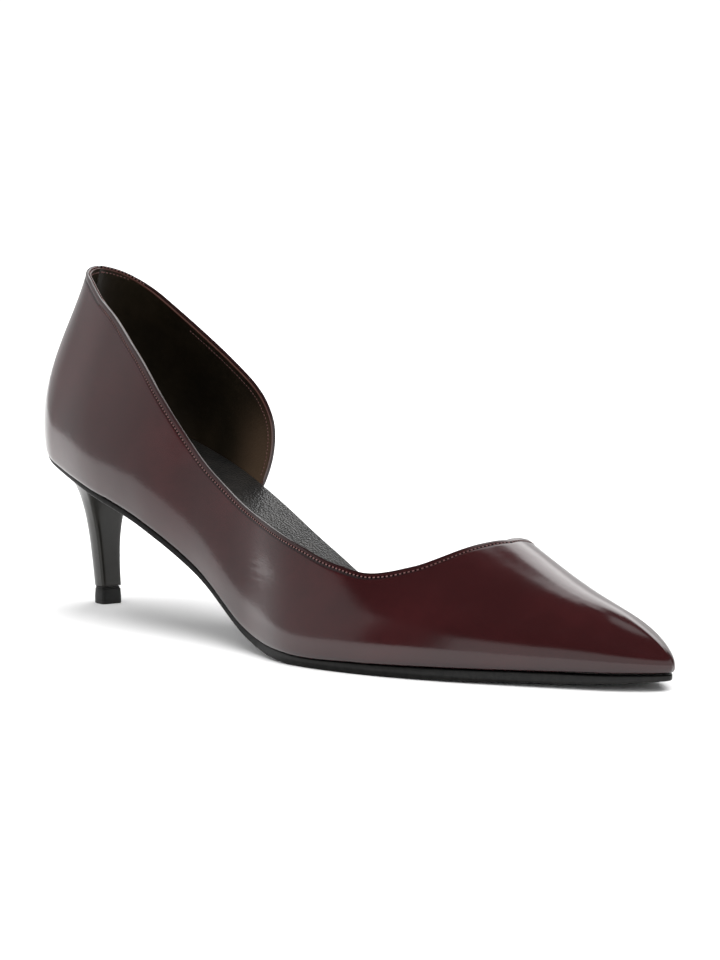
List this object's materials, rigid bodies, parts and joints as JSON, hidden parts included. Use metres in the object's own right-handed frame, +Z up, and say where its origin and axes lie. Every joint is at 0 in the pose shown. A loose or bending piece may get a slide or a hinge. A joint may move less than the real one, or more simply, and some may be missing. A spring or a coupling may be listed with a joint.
{
  "type": "dorsay pump",
  "caption": "Pointed half-cut pump with a slim mid heel, a full outer side and an open inner waist, for a right foot.",
  "frame": {"origin": "middle of the shoe's box, on the floor that it stands on", "axes": "+X from heel to toe, +Y to the inner side of the foot, +Z up"},
  "size_m": [0.2566, 0.0774, 0.1038],
  "materials": {
    "upper_leather": "polished smooth burgundy calf with a fine grain",
    "sole_leather": "black dressed leather with a waxed edge",
    "insole_leather": "glossy black leather with a fine pebble grain",
    "heel_lacquer": "smooth charcoal lacquer",
    "tip_rubber": "matte black rubber"
  },
  "bodies": {
    "root": {"upper": "upper_leather", "outsole": "sole_leather", "insole": "insole_leather", "heel": "heel_lacquer", "heel_tip": "tip_rubber"}
  },
  "joints": []
}
